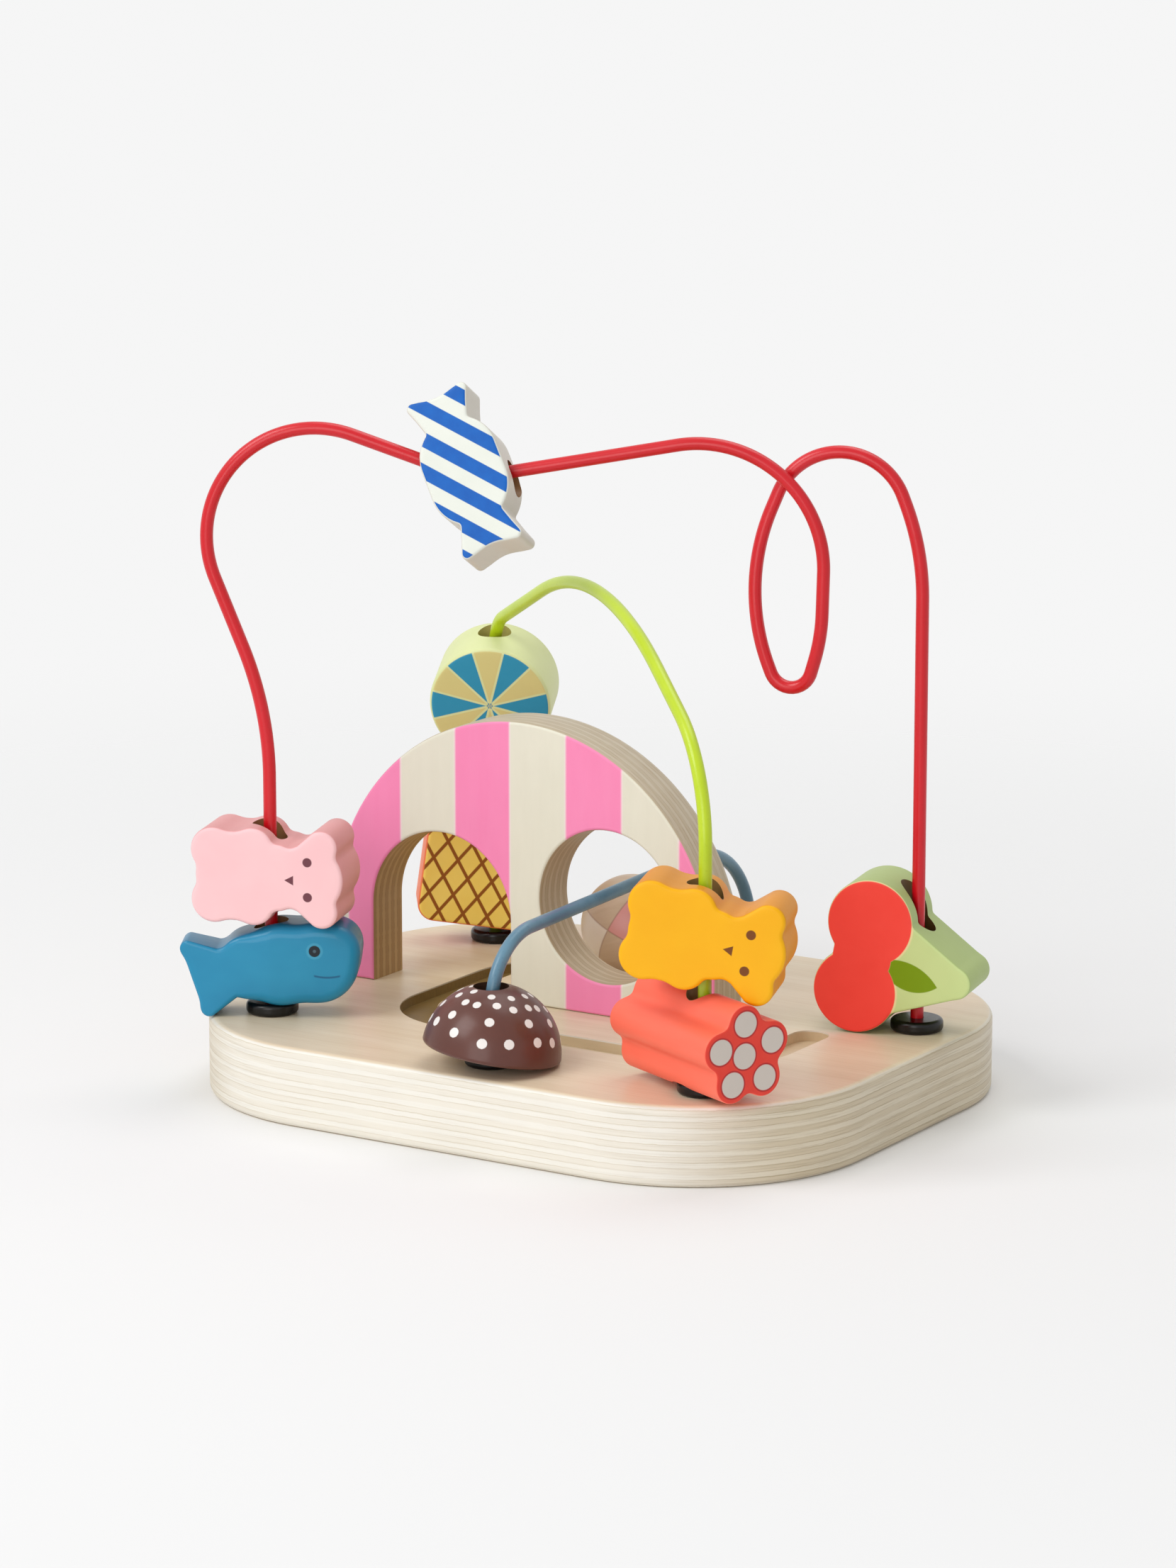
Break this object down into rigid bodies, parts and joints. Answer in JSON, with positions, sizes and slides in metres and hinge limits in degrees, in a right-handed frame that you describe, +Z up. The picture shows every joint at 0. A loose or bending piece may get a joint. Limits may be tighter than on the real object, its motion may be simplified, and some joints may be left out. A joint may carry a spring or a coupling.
{
  "type": "bead maze",
  "caption": "Wooden bead maze: a rounded plywood board with a striped arch and bent coloured wires that carry sliding painted wooden beads.",
  "frame": {"origin": "centre of the board's underside, where it rests on a table", "axes": "+Z up, -Y towards the striped front of the arch, +X to the right seen from the front"},
  "size_m": [0.2051, 0.1678, 0.1979],
  "materials": {
    "ply": "satin clear lacquer on birch plywood",
    "painted_ply": "pink and cream stripes on plywood, satin",
    "steel": "zinc plated",
    "red_paint": "gloss powder coat",
    "lime_paint": "gloss powder coat",
    "blue_paint": "gloss powder coat",
    "black_plastic": "moulded, gloss",
    "fish_wood": "satin water-based paint",
    "pink_wood": "satin water-based paint",
    "candy_wood": "blue stripes on cream, satin",
    "cherry_wood": "red and light green print, satin",
    "coral_wood": "satin water-based paint",
    "orange_wood": "satin water-based paint",
    "waffle_wood": "lattice print, satin",
    "lolly_wood": "sector print, satin",
    "brown_wood": "gloss paint with dots",
    "ball_wood": "gore print, satin"
  },
  "bodies": {
    "board_with_wires": {"base_board": "ply", "arch_facade": "painted_ply", "arch_screws": "steel", "red_wire": "red_paint", "green_wire": "lime_paint", "blue_wire": "blue_paint", "red_left_collar": "black_plastic", "red_right_collar": "black_plastic", "green_front_collar": "black_plastic", "green_rear_collar": "black_plastic", "blue_front_collar": "black_plastic", "blue_rear_collar": "black_plastic"},
    "fish": {"fish_bead": "fish_wood"},
    "pink_bear": {"pink_bear_bead": "pink_wood"},
    "candy": {"candy_bead": "candy_wood"},
    "cherries": {"cherry_bead": "cherry_wood"},
    "lobed_tube": {"tube_bead": "coral_wood"},
    "orange_bear": {"orange_bear_bead": "orange_wood"},
    "waffle": {"waffle_bead": "waffle_wood"},
    "lollipop": {"lollipop_bead": "lolly_wood"},
    "dotted_dome": {"dome_bead": "brown_wood"},
    "rolling_ball": {"track_ball": "ball_wood"}
  },
  "joints": [
    {"name": "fish_lift", "type": "slide", "parent": "board_with_wires", "child": "fish", "axis": [0, 0, 1], "range_m": [0, 0.015]},
    {"name": "pink_bear_lift", "type": "slide", "parent": "fish", "child": "pink_bear", "axis": [0, 0, 1], "range_m": [0, 0.015]},
    {"name": "candy_swing", "type": "hinge", "parent": "board_with_wires", "child": "candy", "pos_m": [-0.02431, -0.02811, 0.1736], "axis": [0.8945, 0.4347, -0.1045], "continuous": true},
    {"name": "cherries_lift", "type": "slide", "parent": "board_with_wires", "child": "cherries", "axis": [0, 0, 1], "range_m": [0, 0.045]},
    {"name": "tube_turn", "type": "hinge", "parent": "board_with_wires", "child": "lobed_tube", "pos_m": [0.07, -0.061, 0.0363], "axis": [0, 0, 1], "continuous": true},
    {"name": "orange_bear_lift", "type": "slide", "parent": "lobed_tube", "child": "orange_bear", "axis": [0, 0, 1], "range_m": [0, 0.014]},
    {"name": "waffle_turn", "type": "hinge", "parent": "board_with_wires", "child": "waffle", "pos_m": [-0.0685, 0.0515, 0.05], "axis": [0, 0, 1], "continuous": true},
    {"name": "lollipop_turn", "type": "hinge", "parent": "board_with_wires", "child": "lollipop", "pos_m": [-0.0685, 0.0515, 0.095], "axis": [0, 0, 1], "continuous": true},
    {"name": "dome_turn", "type": "hinge", "parent": "board_with_wires", "child": "dotted_dome", "pos_m": [0.0074, -0.0669, 0.03], "axis": [0, 0, 1], "continuous": true},
    {"name": "ball_run", "type": "slide", "parent": "board_with_wires", "child": "rolling_ball", "axis": [1, 0, 0], "range_m": [-0.011, 0.03]}
  ]
}
